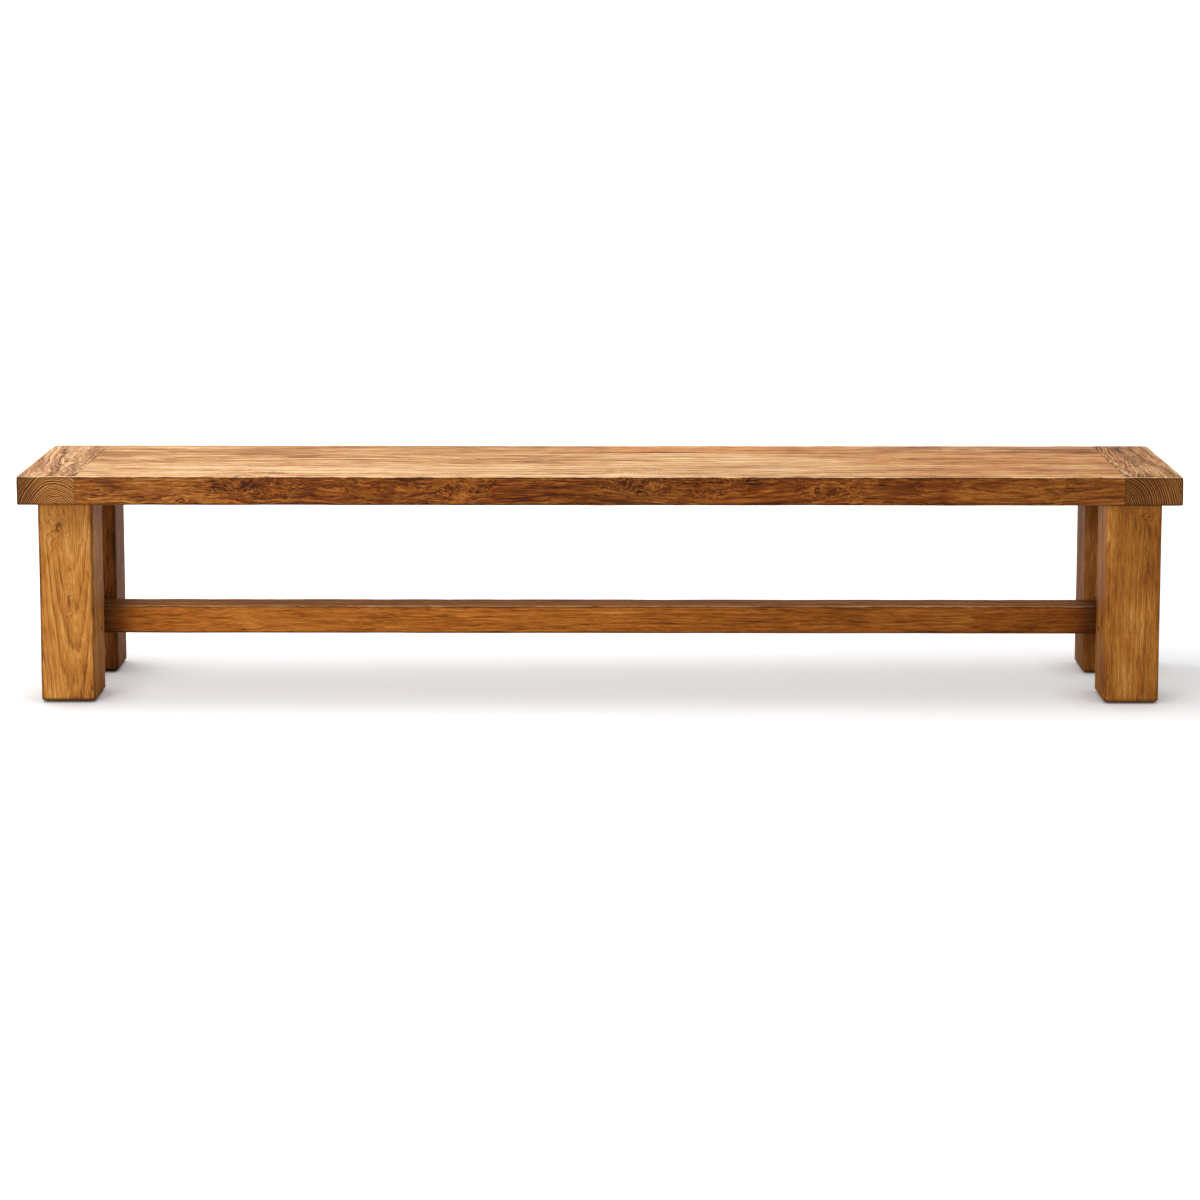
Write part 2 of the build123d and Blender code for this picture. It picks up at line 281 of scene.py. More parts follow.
def make_knot():
    """One knot: it pushes the grain aside, stirs it up round its place and may have a dark, broken heart."""
    takes = {"Wood": "Vector", "Place": "Vector", "Spread": "Vector", "Dark": "Float", "Pull": "Float",
             "Heart": "Float"}
    tree, given, result = node_group("teak_knot", takes, {"Wood": "Vector", "Pull": "Float", "Heart": "Float"})
    offset = vectors(tree, "SUBTRACT", given["Wood"], given["Place"])
    around = vectors(tree, "DIVIDE", offset, given["Spread"])
    stir = mottle(tree, given["Wood"], (75.0, 75.0, 45.0), seed=3.0, detail=3.0, roughness=0.6, colour=True)
    stir = vectors(tree, "SUBTRACT", stir, middle_grey)
    ragged = (2.4, 2.4, 2.4)
    around = vectors(tree, "MULTIPLY_ADD", stir, ragged, around)
    distance = vectors(tree, "LENGTH", around)
    near = fade(tree, distance, 0.2, 2.4, low=1.0, high=0.0)
    sideways_push = (-0.7, -0.7, 0.0)
    push = vectors(tree, "MULTIPLY", vectors(tree, "MULTIPLY", offset, sideways_push), near)
    crumbs = mottle(tree, given["Wood"], (170.0, 170.0, 110.0), seed=5.0, detail=2.0)
    broken = fade(tree, crumbs, 0.38, 0.60, low=0.25, high=1.0)
    heart = sums(tree, "MULTIPLY", fade(tree, distance, 0.2, 1.0, low=1.0, high=0.0), broken)
    heart = sums(tree, "MULTIPLY", heart, given["Dark"])
    tree.links.new(vectors(tree, "ADD", given["Wood"], push), result["Wood"])
    tree.links.new(sums(tree, "ADD", given["Pull"], near), result["Pull"])
    tree.links.new(sums(tree, "MAXIMUM", given["Heart"], heart), result["Heart"])
    return tree


def make_figure():
    """The figure of cut teak, from growth rings, strands, fibres, veins and pores that follow the grain."""
    takes = {"Wood": "Vector", "Flow": "Vector", "Year": "Float", "End grain": "Float", "Pull": "Float",
             "Fineness": "Float", "Patches": "Float", "Strands": "Float", "Rings": "Float", "Seed": "Float"}
    gives = {"Tone": "Float", "Streak": "Float", "Vein": "Float", "Pore": "Float", "Relief": "Float"}
    tree, given, result = node_group("teak_figure", takes, gives)
    # Each year starts with pale spring wood and ends in a dark line. Years differ in strength.
    season = sums(tree, "FRACT", given["Year"])
    stops = [(0.0, grey(0.25)), (0.08, grey(0.85)), (0.40, grey(0.65)), (0.70, grey(0.45)), (0.88, grey(0.0)),
             (1.0, grey(0.25))]
    ring = ramp(tree, season, stops, "EASE")
    one_year = put(tree, "TexWhiteNoise", {"W": sums(tree, "FLOOR", given["Year"])}, noise_dimensions="1D")["Value"]
    strength = sums(tree, "MULTIPLY", sums(tree, "MULTIPLY_ADD", one_year, 0.40, 0.10), given["Rings"])
    strength = sums(tree, "MULTIPLY_ADD", given["End grain"], 0.95, strength)
    ring = sums(tree, "MULTIPLY", sums(tree, "SUBTRACT", ring, 0.5), strength)
    # Two layers of cloudy patches, one of long streaks and two of strands make the tone, with less in end grain.
    long_grain = sums(tree, "MULTIPLY_ADD", given["End grain"], -0.6, 1.0)
    fibre = vectors(tree, "MULTIPLY", given["Flow"], given["Fineness"])
    tone = 0.0
    for place, patches, detail, roughness, share in (
        (given["Wood"], (9.0, 9.0, 4.0), 3.0, 0.55, sums(tree, "MULTIPLY", given["Patches"], 0.7)),
        (given["Wood"], (32.0, 32.0, 14.0), 2.0, 0.50, sums(tree, "MULTIPLY", given["Patches"], 0.5)),
        (given["Flow"], (26.0, 26.0, 2.0), 3.0, 0.60, sums(tree, "MULTIPLY", given["Patches"], 0.5)),
        (fibre, (100.0, 100.0, 5.0), 4.0, 0.70, sums(tree, "MULTIPLY", given["Strands"], 1.6)),
        (fibre, (260.0, 260.0, 12.0), 2.0, 0.70, sums(tree, "MULTIPLY", given["Strands"], 1.4)),
    ):
        layer = mottle(tree, place, patches, given["Seed"], detail, roughness)
        tone = sums(tree, "MULTIPLY_ADD", sums(tree, "SUBTRACT", layer, 0.5), share, tone)
    tone = sums(tree, "MULTIPLY_ADD", tone, long_grain, sums(tree, "ADD", ring, 0.5))
    # Thin pale veins run along the level lines of a noise, in some places only and more often by a knot.
    lines = mottle(tree, fibre, (80.0, 80.0, 6.0), given["Seed"], detail=3.0, roughness=0.6)
    vein = sums(tree, "ABSOLUTE", sums(tree, "SUBTRACT", lines, 0.5))
    vein = fade(tree, vein, 0.006, 0.036, low=1.0, high=0.0)
    where = mottle(tree, given["Wood"], (17.0, 17.0, 7.0), given["Seed"], detail=2.0)
    where = sums(tree, "MULTIPLY_ADD", given["Pull"], 0.05, where)
    vein = sums(tree, "MULTIPLY", vein, fade(tree, where, 0.38, 0.60))
    # Streaks show on the sitting face, pores are short dark dashes, and pores and late wood lie lowest.
    streak = mottle(tree, given["Flow"], (50.0, 50.0, 3.2), given["Seed"], detail=4.0, roughness=0.70)
    streak = fade(tree, streak, 0.34, 0.66, low=-0.5, high=0.5)
    pore = mottle(tree, given["Flow"], (420.0, 420.0, 30.0), given["Seed"], detail=1.0)
    pore = fade(tree, pore, 0.58, 0.70)
    fibre_height, late_wood_depth, pore_depth = 0.4, 0.8, 0.6
    relief = sums(tree, "MULTIPLY_ADD", tone, fibre_height, sums(tree, "MULTIPLY", ring, -late_wood_depth))
    relief = sums(tree, "SUBTRACT", relief, sums(tree, "MULTIPLY", pore, pore_depth))
    for label, value in (("Tone", tone), ("Streak", streak), ("Vein", vein), ("Pore", pore), ("Relief", relief)):
        tree.links.new(value, result[label])
    return tree


growth, knot_group, figure = make_growth(), make_knot(), make_figure()
grain_turns = {"X": (0.0, radians(-90), 0.0), "Y": (radians(90), 0.0, 0.0), "Z": (0.0, 0.0, 0.0)}


def tones_along(tree, tone, across, palettes):
    """The colour of a tone, from palettes that give way to each other along the bench, each full at its place."""
    colour, before = None, None
    for place, tones in palettes:
        stops = [(i / (len(tones) - 1), shade) for i, shade in enumerate(tones)]
        shade = ramp(tree, tone, stops)
        colour = shade if colour is None else blend_colours(tree, fade(tree, across, before, place), colour, shade)
        before = place
    return colour


grime_and_shade_brown = stain(52, 28, 14)
pore_brown = stain(58, 30, 12)
arris_grime_and_shade_brown = stain(46, 22, 8)
knot_brown = stain(50, 22, 8)
pale_knot_brown = stain(138, 80, 42)
vein_gold = stain(198, 126, 52)
rubbed_highlight_gold = stain(252, 214, 158)
arris_grime_and_shade_strength = 0.55
knot_strength = 0.8
pore_strength = 0.35
oiled_roughness = 0.6
relief_roughness = 0.10
oiled_shine = 0.12
fibre_relief = 0.0006
relief_strength = 0.5


def teak(name, grain, pith, year_width, sides, tops=(), top=0.0, knots=(), wander=0.03, curl=0.5, seed=0.0,
         pale_veins=0.4, fineness=1.4, patchy=1.0, strands=1.0, rings=1.0, lean=0.0, seams=()):
    """A board's own teak, with its grain along one axis about a pith.

    sides and tops are palettes from dark to light, each with the place along the bench where it is full; tops lie
    above the level top, paler from wear and with painted light from above. knots are places, half sizes and how dark
    their hearts are. wander is how far the pith strays, curl how wild the fibres are and lean the slant of the board
    to the pith. pale_veins, patchy, strands and rings are the strengths of those marks, and fineness makes the
    strands narrower. seams are the axes and levels of joints that darken, with how far it reaches and how dark it
    is: grime in the seat's joints, and painted shade at the ends of the rails and stretcher and at the legs' feet
    and heads.
    """
    material = bpy.data.materials.new(name)
    material.use_nodes = True
    tree = material.node_tree
    shader = tree.nodes["Principled BSDF"]
    place = put(tree, "TexCoord")["Object"]
    spot = put(tree, "SeparateXYZ", {0: place})
    turn = Euler(grain_turns[grain]).to_matrix()
    feeds = {"Vector": place, "Rotation": grain_turns[grain], "Location": -(turn @ Vector(pith))}
    wood = put(tree, "Mapping", feeds)[0]
    # Faces that look along the fibres show end grain.
    normal = put(tree, "SeparateXYZ", {0: put(tree, "TexCoord")["Normal"]})["XYZ".index(grain)]
    end_grain = fade(tree, sums(tree, "ABSOLUTE", normal), 0.6, 0.95)
    pull, heart = 0.0, 0.0
    for centre, half_size, dark in knots:
        size = Vector([abs(c) for c in turn @ Vector(half_size)])
        feeds = {"Wood": wood, "Place": turn @ (Vector(centre) - Vector(pith)), "Spread": size, "Dark": dark,
                 "Pull": pull, "Heart": heart}
        outputs = put(tree, "Group", feeds, node_tree=knot_group)
        wood, pull, heart = outputs["Wood"], outputs["Pull"], outputs["Heart"]
    feeds = {"Wood": wood, "Year width": year_width, "Wander": wander, "Curl": curl, "Lean": lean, "Pull": pull,
             "End grain": end_grain, "Seed": seed}
    growing = put(tree, "Group", feeds, node_tree=growth)
    feeds = {"Wood": wood, "Flow": growing["Flow"], "Year": growing["Year"], "End grain": end_grain, "Pull": pull,
             "Fineness": fineness, "Patches": patchy, "Strands": strands, "Rings": rings, "Seed": seed + 11.0}
    looks = put(tree, "Group", feeds, node_tree=figure)
    tone = looks["Tone"]
    # Palettes give way to each other along an uneven front, a wide one in boards that run along the bench.
    drift = 0.6 if grain == "X" else 0.08
    across = sums(tree, "MULTIPLY_ADD", mottle(tree, wood, (6.0, 20.0, 1.0), seed), drift, spot["X"])
    across = sums(tree, "SUBTRACT", across, drift / 2)
    edge = fade(tree, put(tree, "Attribute", attribute_name="arris")["Fac"], 0.6, 1.0)
    colour = tones_along(tree, tone, across, sides)
    # Edges darken with grime and with painted shade on their rounded corners.
    colour = blend_colours(tree, sums(tree, "MULTIPLY", edge, arris_grime_and_shade_strength), colour, arris_grime_and_shade_brown)
    lost_on_end_grain = 0.7
    vein_strength = sums(tree, "MULTIPLY_ADD", end_grain, -lost_on_end_grain * pale_veins, pale_veins)
    veins = sums(tree, "MULTIPLY", looks["Vein"], vein_strength)
    colour = blend_colours(tree, veins, colour, vein_gold)
    dark_heart = sums(tree, "MULTIPLY", heart, knot_strength)
    if tops:
        # The sitting face is rubbed pale and painted lighter for the light from above, with an uneven line where it
        # gives way to the side. Its edges are paler still, rubbed and with a painted highlight.
        wobble, blur = 0.004, 0.001
        spill = sums(tree, "MULTIPLY", mottle(tree, place, (25.0, 25.0, 0.0), seed), wobble)
        top_share = fade(tree, sums(tree, "ADD", spot["Z"], spill), top - blur, top + blur)
        top_streaks, top_edge_rub_and_highlight = 0.6, 0.5
        streaked = sums(tree, "MULTIPLY_ADD", looks["Streak"], top_streaks, tone)
        top_colour = tones_along(tree, streaked, across, tops)
        light = sums(tree, "MULTIPLY_ADD", edge, top_edge_rub_and_highlight, veins)
        top_colour = blend_colours(tree, light, top_colour, rubbed_highlight_gold)
        top_colour = blend_colours(tree, dark_heart, top_colour, pale_knot_brown)
    if knots:
        colour = blend_colours(tree, dark_heart, colour, knot_brown)
    if tops:
        colour = blend_colours(tree, top_share, colour, top_colour)
    crack = 0.0002  # grime and painted shade are darkest this near a joint
    # Each seam darkens: grime in the seat's joints, painted shade at the rail and stretcher ends and at the legs'
    # feet and heads.
    for axis, level, reach, darkness in seams:
        gap = sums(tree, "ABSOLUTE", sums(tree, "SUBTRACT", spot[axis], level))
        grime_and_shade = fade(tree, gap, crack, reach, low=darkness, high=0.0)
        colour = blend_colours(tree, grime_and_shade, colour, grime_and_shade_brown)
    colour = blend_colours(tree, sums(tree, "MULTIPLY", looks["Pore"], pore_strength), colour, pore_brown)
    tree.links.new(colour, shader.inputs["Base Color"])
    rough = sums(tree, "MULTIPLY_ADD", looks["Relief"], relief_roughness, oiled_roughness)
    tree.links.new(rough, shader.inputs["Roughness"])
    shader.inputs["Specular IOR Level"].default_value = oiled_shine
    feeds = {"Height": looks["Relief"], "Strength": relief_strength, "Distance": fibre_relief}
    tree.links.new(put(tree, "Bump", feeds)[0], shader.inputs["Normal"])
    return material


front_low, front_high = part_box("seat_plank_front")
middle_low, middle_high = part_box("seat_plank_middle")
back_low, back_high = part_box("seat_plank_back")
shoulder = -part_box("breadboard_left")[1].x  # where the planks' bodies end, at the right
seat_top = front_high.z

honey_sides = stains((70, 32, 6), (114, 58, 16), (148, 80, 28), (176, 106, 42), (208, 142, 70))
umber_sides = stains((38, 16, 4), (72, 34, 8), (105, 52, 13), (134, 71, 21), (176, 106, 40))
chestnut_sides = stains((50, 20, 4), (89, 40, 8), (125, 59, 13), (153, 81, 23), (192, 117, 42))
calm_sides = stains((66, 30, 6), (98, 47, 10), (124, 61, 15), (147, 78, 23), (180, 108, 38))
calm_honey_sides = stains((84, 42, 10), (122, 64, 19), (148, 82, 28), (170, 101, 40), (196, 130, 60))
honey_tops = stains((146, 92, 50), (190, 134, 82), (220, 166, 114), (240, 192, 140), (254, 224, 182))
tan_tops = stains((116, 68, 34), (160, 104, 58), (198, 140, 87), (228, 174, 120), (250, 214, 166))
amber_tops = stains((116, 58, 24), (171, 101, 48), (213, 140, 80), (232, 168, 108), (250, 207, 153))
dusky_tops = stains((100, 50, 22), (149, 90, 46), (192, 127, 77), (217, 156, 104), (243, 200, 150))

# each knot's place, its half sizes and how dark its heart is
front_knots = [
    ((-0.690, -0.19, 0.441), (0.050, 0.05, 0.013), 0.9),
    ((-0.715, -0.19, 0.456), (0.034, 0.02, 0.005), 0.9),
    ((-0.654, -0.19, 0.448), (0.008, 0.05, 0.006), 1.0),
    ((-0.501, -0.19, 0.430), (0.007, 0.03, 0.007), 0.0),
    ((-0.280, -0.19, 0.434), (0.024, 0.05, 0.015), 0.9),
    ((-0.231, -0.19, 0.440), (0.016, 0.05, 0.010), 0.8),
    ((0.045, -0.19, 0.447), (0.020, 0.05, 0.010), 0.9),
    ((0.108, -0.19, 0.444), (0.016, 0.05, 0.012), 0.6),
    ((0.079, -0.19, 0.429), (0.010, 0.05, 0.007), 0.9),
    ((0.213, -0.19, 0.430), (0.022, 0.05, 0.008), 0.5),
    ((0.450, -0.19, 0.432), (0.030, 0.05, 0.012), 0.4),
]
seam_reach = 0.0012
seam_dirt = 0.45
end_seams = (("X", -shoulder, seam_reach, seam_dirt), ("X", shoulder, seam_reach, seam_dirt))
front_seams = (("Y", front_high.y, seam_reach, seam_dirt),) + end_seams
back_seams = (("Y", back_low.y, seam_reach, seam_dirt),) + end_seams

front_plank = worn_timber("seat_plank_front", (-shoulder, front_low.y, front_low.z),
                          (shoulder, front_high.y, seat_top), ("-Y", "+Z", "-Z"), plank_edge_wear)
front_plank.data.materials.append(
    teak("front_plank_teak", "X", (0.0, -0.255, 0.432), 0.0052,
         ((-0.9, honey_sides), (-0.65, chestnut_sides), (-0.05, chestnut_sides), (0.12, umber_sides),
          (0.28, chestnut_sides), (0.55, calm_sides), (1.3, calm_honey_sides)),
         ((0.1, honey_tops), (0.95, amber_tops)), seat_top, front_knots, wander=0.05, curl=1.0, seed=3.1,
         pale_veins=0.7, fineness=1.8, patchy=0.9, strands=1.25, seams=front_seams))

middle_plank = worn_timber("seat_plank_middle", (-shoulder, middle_low.y, middle_low.z),
                           (shoulder, middle_high.y, seat_top), ("+Z", "-Z"), joint_edge_wear, step=0.0002)
middle_plank.data.materials.append(
    teak("middle_plank_teak", "X", (0.0, 0.03, 0.30), 0.0048, ((0.0, chestnut_sides),),
         ((-0.15, tan_tops), (0.25, honey_tops), (0.7, amber_tops)), seat_top,
         [((-0.272, 0.035, 0.46), (0.055, 0.010, 0.03), 0.6)],
         wander=0.06, seed=8.7, seams=front_seams + back_seams[:1]))

back_plank = worn_timber("seat_plank_back", (-shoulder, back_low.y, back_low.z), (shoulder, back_high.y, seat_top),
                         ("+Y", "+Z", "-Z"), plank_edge_wear)
back_knots = [
    ((-0.061, 0.150, 0.46), (0.045, 0.006, 0.03), 0.5),
    ((0.78, 0.14, 0.46), (0.080, 0.008, 0.03), 0.6),
]
back_plank.data.materials.append(
    teak("back_plank_teak", "X", (0.0, 0.26, 0.42), 0.0044, ((0.0, chestnut_sides),),
         ((-0.4, tan_tops), (0.3, amber_tops), (0.75, dusky_tops)), seat_top, back_knots,
         wander=0.05, curl=0.8, seed=14.2, seams=back_seams))


# The two breadboard ends
# One board across the plank ends at each side, with its grain from front to back, so that its growth rings show on
# the seat's front. A stopped groove and three mortises take the planks, and pegs from below hold them.

brown_sides = stains((60, 30, 7), (110, 61, 21), (156, 93, 37), (188, 119, 55), (220, 157, 91))
brown_tops = stains((108, 64, 34), (150, 98, 58), (190, 135, 90), (218, 166, 120), (244, 206, 162))
shaded_sides = stains((32, 15, 3), (64, 34, 10), (100, 56, 21), (132, 78, 33), (180, 118, 62))
dark_sides = stains((26, 11, 2), (58, 28, 6), (98, 50, 13), (134, 76, 28), (186, 124, 65))
dusty_sides = stains((58, 30, 8), (101, 55, 17), (134, 79, 31), (161, 100, 45), (204, 142, 80))
dark_tops = stains((78, 42, 19), (130, 78, 42), (178, 115, 66), (212, 152, 100), (246, 202, 150))
breadboard_edge_wear = 0.0010

breadboard_woods = {
    "left": {"pith": (-1.071, 0.0, 0.406), "year_width": 0.0040,
             "sides": ((-1.145, shaded_sides), (-1.085, brown_sides)), "tops": ((0.0, brown_tops),),
             "curl": 2.4, "pale_veins": 0.45, "seed": 21.5},
    "right": {"pith": (1.030, 0.0, 0.417), "year_width": 0.0044,
              "sides": ((1.080, dark_sides), (1.135, dusty_sides)), "tops": ((0.0, dark_tops),),
              "curl": 1.2, "pale_veins": 0.75, "seed": 27.3},
}
for end, wood in breadboard_woods.items():
    node = "breadboard_" + end
    low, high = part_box(node)
    outer_side = "-X" if end == "left" else "+X"
    breadboard = worn_timber(node, low, high, (outer_side, "-Y", "+Y", "+Z", "-Z"), breadboard_edge_wear)
    breadboard.data.materials.append(
        teak(node + "_teak_wood", "Y", top=seat_top, wander=0.02, fineness=1.5, patchy=0.4, strands=0.7, rings=2.2,
             lean=0.08, seams=end_seams, **wood))


# The four legs
# Square posts of old teak with rounded corners and chamfered feet. A tenon on each head goes up into the
# breadboard, and a mortise takes the cross rail.

golden_legs = stains((106, 59, 18), (164, 100, 38), (195, 125, 51), (214, 146, 68), (239, 181, 109))
amber_legs = stains((104, 56, 16), (154, 91, 32), (183, 113, 42), (203, 133, 57), (232, 172, 96))
# Darker tones for the back legs, painted shade under the seat and behind the front legs.
shaded_russet_legs = stains((82, 42, 10), (124, 71, 23), (149, 88, 31), (171, 107, 45), (203, 143, 79))
leg_edge_wear = 0.0011

# Per leg: how dark the arrises are, from grime and painted shade, darker on the left legs, whose corners turn
# from the light at the left; and how dark the painted shade under the seat is at the head.
leg_woods = {
    "leg_front_left": {
        "pith": (-1.045, -0.105, 0.0), "tones": golden_legs, "seed": 33.0, "edge_grime_and_shade": 2.4, "rings": 1.2,
        "lean": 0.05, "head_shade": 0.24,
        "knots": [((-1.074, -0.177, 0.356), (0.013, 0.05, 0.015), 0.9),
                  ((-1.052, -0.177, 0.205), (0.005, 0.05, 0.022), 0.9)],
    },
    "leg_front_right": {
        "pith": (0.99, -0.02, 0.0), "tones": amber_legs, "seed": 37.0, "edge_grime_and_shade": 1.0, "rings": 0.8,
        "lean": 0.0, "head_shade": 0.06,
        "knots": [((1.083, -0.177, 0.383), (0.014, 0.05, 0.012), 0.0),
                  ((1.086, -0.177, 0.285), (0.004, 0.05, 0.026), 0.8)],
    },
    "leg_back_left": {
        "pith": (-1.10, 0.20, 0.0), "tones": shaded_russet_legs, "seed": 41.0, "edge_grime_and_shade": 2.4, "rings": 1.2,
        "lean": 0.03, "head_shade": 0.12, "knots": [],
    },
    "leg_back_right": {
        "pith": (1.12, 0.05, 0.0), "tones": shaded_russet_legs, "seed": 45.0, "edge_grime_and_shade": 1.0, "rings": 0.8,
        "lean": 0.0, "head_shade": 0.12, "knots": [],
    },
}
for node, wood in leg_woods.items():
    low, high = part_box(node)
    high.z = front_low.z
    leg = worn_timber(node, low, high, ("-X", "+X", "-Y", "+Y", "-Z"), leg_edge_wear, edge_grime_and_shade=wood["edge_grime_and_shade"])
    # Each foot darkens with a painted contact shadow, and each head with painted shade under the seat.
    foot_and_head = (("Z", low.z, 0.011, 0.6), ("Z", high.z, 0.120, wood["head_shade"]))
    leg.data.materials.append(
        teak(node + "_wood", "Z", wood["pith"], 0.0050, ((0.0, wood["tones"]),), knots=wood["knots"], wander=0.03,
             seed=wood["seed"], pale_veins=0.2, fineness=3.0, patchy=1.6, strands=0.7, rings=wood["rings"],
             lean=wood["lean"], seams=foot_and_head))


# The two cross rails and the long stretcher
# Three rails of one stock. Each cross rail joins two legs near the floor, and the stretcher joins the cross rails.
# Their tenons are locked by pegs.

amber_rails = stains((116, 58, 14), (162, 90, 24), (194, 112, 36), (212, 130, 50), (230, 156, 76))
russet_rails = stains((90, 42, 8), (130, 66, 14), (158, 86, 24), (178, 104, 34), (204, 134, 58))
# Paler tones for the stretcher's top, partly bleached and partly a painted sheen.
bleached_and_sheen_rails = stains((138, 78, 28), (186, 112, 46), (220, 142, 64), (232, 158, 80), (246, 186, 112))
rail_edge_wear = 0.0008

for end in ("left", "right"):
    node = "cross_rail_" + end
    low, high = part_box(node)
    low.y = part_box("leg_front_" + end)[1].y
    high.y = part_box("leg_back_" + end)[0].y
    rail = worn_timber(node, low, high, ("-X", "+X", "+Z", "-Z"), rail_edge_wear)
    middle = (low + high) / 2
    # The rail's ends darken towards the legs with painted shade.
    rail.data.materials.append(
        teak(node + "_wood", "Y", (middle.x - 0.05, 0.0, middle.z - 0.04), 0.0045, ((0.0, amber_rails),),
             seed=51.0 + middle.x, seams=(("Y", low.y, 0.030, 0.5), ("Y", high.y, 0.030, 0.5))))

low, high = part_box("stretcher")
low.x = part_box("cross_rail_left")[1].x
high.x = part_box("cross_rail_right")[0].x
stretcher = worn_timber("stretcher", low, high, ("-Y", "+Y", "+Z", "-Z"), rail_edge_wear)
stretcher.data.materials.append(
    teak("stretcher_wood", "X", (0.0, -0.12, 0.10), 0.0042, ((-0.1, amber_rails), (0.9, russet_rails)),
         ((0.0, bleached_and_sheen_rails),), high.z, wander=0.04, seed=57.0, pale_veins=0.3, fineness=1.7, patchy=0.7,
         # the ends darken with painted shade by the cross rails and legs
         seams=(("X", low.x, 0.090, 0.8), ("X", high.x, 0.090, 0.8))))


# Pegs, loose tenons and floor glides
# Dry hardwood pegs are driven flush through the tenons, loose tenons hide in the seat's glued joints, and black
# nylon glides are nailed under the feet.

peg_tones = stains((40, 20, 8), (66, 36, 16), (92, 54, 26), (118, 74, 40), (150, 100, 60))
small_woods = {
    ("seat_pegs_left", "seat_pegs_right", "stretcher_pegs"): {
        "grain": "Z", "pith": (0.01, 0.03, 0.0), "year_width": 0.0016, "sides": ((0.0, peg_tones),),
        "wander": 0.004, "seed": 61.0,
    },
    ("rail_pegs_left", "rail_pegs_right"): {
        "grain": "X", "pith": (0.0, 0.03, 0.14), "year_width": 0.0016, "sides": ((0.0, peg_tones),),
        "wander": 0.004, "seed": 64.0,
    },
    ("slip_tenons_front", "slip_tenons_back"): {
        "grain": "Y", "pith": (0.4, 0.0, 0.40), "year_width": 0.0030, "sides": ((0.0, honey_sides),),
        "wander": 0.01, "seed": 67.0,
    },
}
for nodes, wood in small_woods.items():
    for node in nodes:
        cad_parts[node].material_slots[0].material = teak(node + "_wood", **wood)

nylon = bpy.data.materials.new("black_nylon")
nylon.use_nodes = True
tree = nylon.node_tree
shader = tree.nodes["Principled BSDF"]
speckle = mottle(tree, put(tree, "TexCoord")["Object"], (900.0, 900.0, 900.0), seed=1.0)
blacks = [(0.3, stain(24, 23, 22)), (0.7, stain(38, 36, 34))]
tree.links.new(ramp(tree, speckle, blacks), shader.inputs["Base Color"])
tree.links.new(sums(tree, "MULTIPLY_ADD", speckle, 0.2, 0.42), shader.inputs["Roughness"])
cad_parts["floor_glides"].material_slots[0].material = nylon


# The studio
# A pale floor and backdrop of matt paper, a wide soft light overhead, another at the front left, and the camera at
# the photograph's viewing angle.

def sheet(name, corners):
    """A flat sheet of the studio."""
    mesh = bpy.data.meshes.new(name)
    flat = bmesh.new()
    flat.faces.new([flat.verts.new(corner) for corner in corners])
    flat.to_mesh(mesh)
    flat.free()
    made = bpy.data.objects.new(name, mesh)
    bpy.context.scene.collection.objects.link(made)
    return made


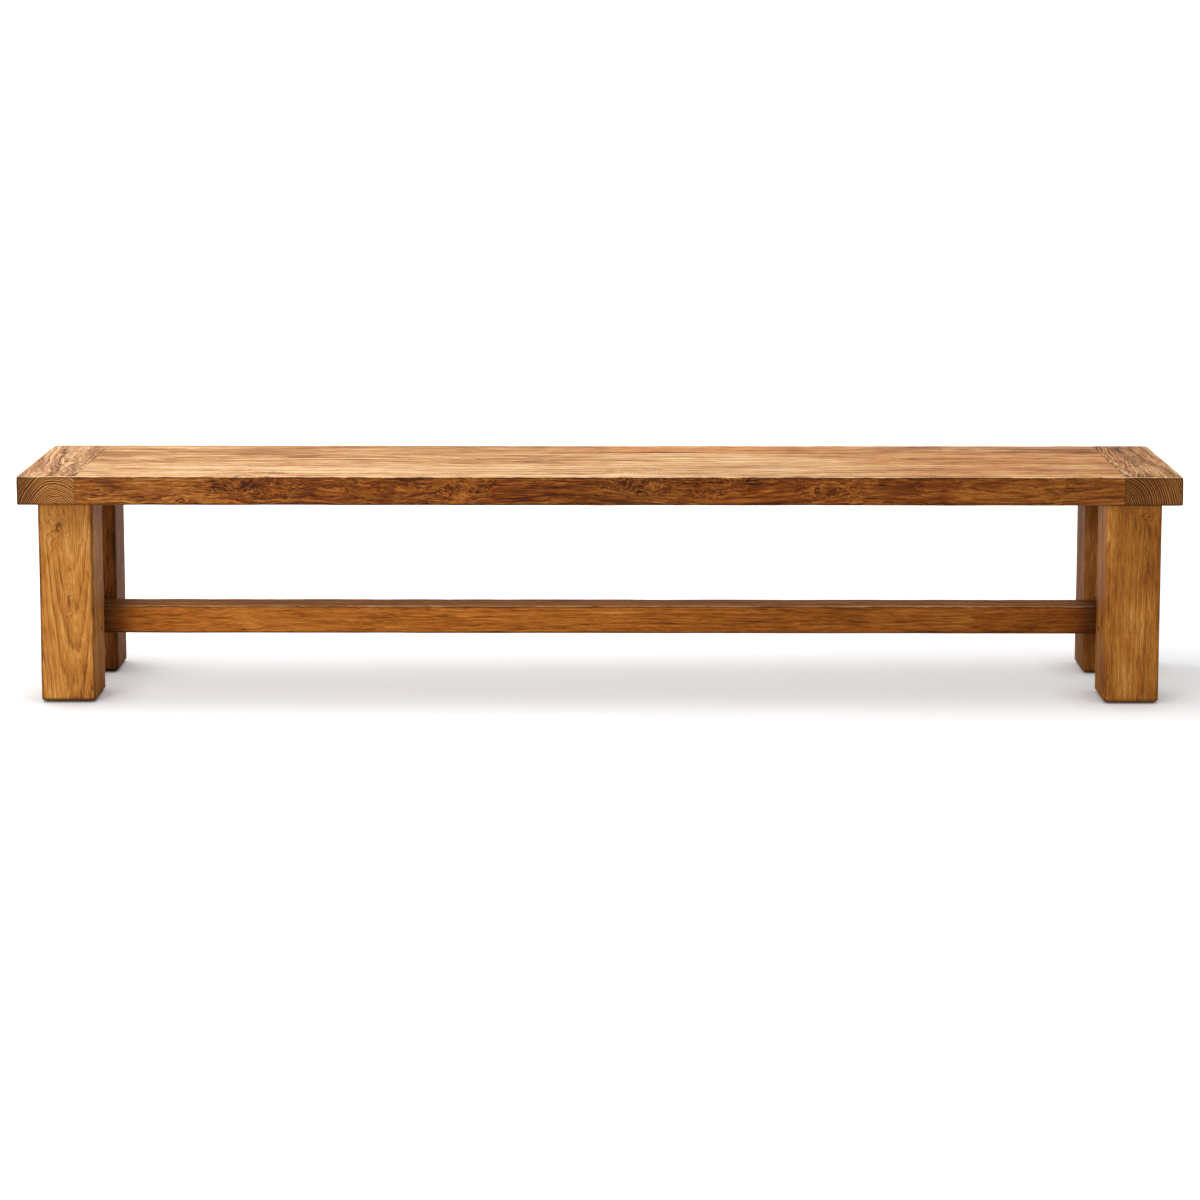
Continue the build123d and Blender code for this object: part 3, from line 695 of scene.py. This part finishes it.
def paper(name, diffuse, near_glow, far_glow):
    """Matt paper that shows as white to the camera and in reflections, save where the bench shades it.

    diffuse is how much light it throws back, and the glows are its own light, near the bench and far from it.
    """
    material = bpy.data.materials.new(name)
    material.use_nodes = True
    tree = material.node_tree
    tree.nodes.clear()
    ray = put(tree, "LightPath")
    place = put(tree, "TexCoord")["Object"]
    # Only the paper behind the bench and beyond its shadow is white throughout. The shadow fades in an oval twice
    # as long as it is deep.
    behind = fade(tree, put(tree, "SeparateXYZ", {0: place})["Y"], 0.2, 1.4)
    oval = vectors(tree, "MULTIPLY", place, (0.5, 1.0, 0.0))
    beyond = sums(tree, "MAXIMUM", behind, fade(tree, vectors(tree, "LENGTH", oval), 1.0, 2.2))
    mirrored = sums(tree, "MAXIMUM", ray["Is Glossy Ray"], ray["Is Transmission Ray"])
    seen = sums(tree, "MAXIMUM", ray["Is Camera Ray"], sums(tree, "MULTIPLY", mirrored, behind))
    contact_reach = 0.10
    openness = put(tree, "AmbientOcclusion", {"Distance": contact_reach}, samples=4)["AO"]
    seen = sums(tree, "MULTIPLY", seen, sums(tree, "MAXIMUM", openness, beyond))
    glow = sums(tree, "MULTIPLY_ADD", beyond, far_glow - near_glow, near_glow)
    matt = put(tree, "BsdfDiffuse", {"Color": grey(diffuse)})[0]
    light = put(tree, "Emission", {"Color": grey(1.0), "Strength": sums(tree, "MULTIPLY", seen, glow)})[0]
    both = put(tree, "AddShader", {0: matt, 1: light})[0]
    tree.links.new(both, tree.nodes.new("ShaderNodeOutputMaterial").inputs[0])
    return material


floor = sheet("studio_floor", ((-12, -8, 0), (12, -8, 0), (12, 5, 0), (-12, 5, 0)))
floor.data.materials.append(paper("floor_paper", diffuse=0.75, near_glow=0.5, far_glow=0.9))
backdrop = sheet("studio_backdrop", ((-12, 5, 0), (12, 5, 0), (12, 5, 8), (-12, 5, 8)))
backdrop.data.materials.append(paper("backdrop_paper", diffuse=0.2, near_glow=1.0, far_glow=1.0))

world = bpy.data.worlds.new("studio_air")
bpy.context.scene.world = world
world.use_nodes = True
air = world.node_tree.nodes["Background"]
air.inputs["Color"].default_value = grey(1.0)
ray = put(world.node_tree, "LightPath")
fill_light = 0.42  # on the bench; the camera sees the air as white
strength = sums(world.node_tree, "MAXIMUM", ray["Is Camera Ray"], fill_light)
world.node_tree.links.new(strength, air.inputs["Strength"])


def soft_light(name, place, aim, width, height, power):
    """A rectangular soft light at a place, aimed at a point."""
    lamp = bpy.data.lights.new(name, "AREA")
    lamp.shape = "RECTANGLE"
    lamp.size = width
    lamp.size_y = height
    lamp.energy = power
    made = bpy.data.objects.new(name, lamp)
    made.location = place
    made.rotation_euler = (Vector(aim) - Vector(place)).to_track_quat("-Z", "Y").to_euler()
    bpy.context.scene.collection.objects.link(made)


soft_light("overhead_light", place=(-0.9, 0.3, 3.0), aim=(0.0, 0.0, 0.4), width=1.5, height=3.2, power=70)
soft_light("front_light", place=(-2.6, -4.0, 1.5), aim=(0.0, 0.0, 0.3), width=2.0, height=2.0, power=80)

camera_pitch = radians(6.35)  # looking down
camera_yaw = 0.0046
camera = bpy.data.objects.new("camera", bpy.data.cameras.new("camera"))
camera.location = (0.0257, -5.521, 1.403)
camera.rotation_euler = (radians(90) - camera_pitch, 0.0, camera_yaw)
camera.data.lens = 82.4
camera.data.sensor_width = 36.0
camera.data.shift_y = -0.25
bpy.context.scene.collection.objects.link(camera)
bpy.context.scene.camera = camera
bpy.context.scene.view_settings.view_transform = "Standard"
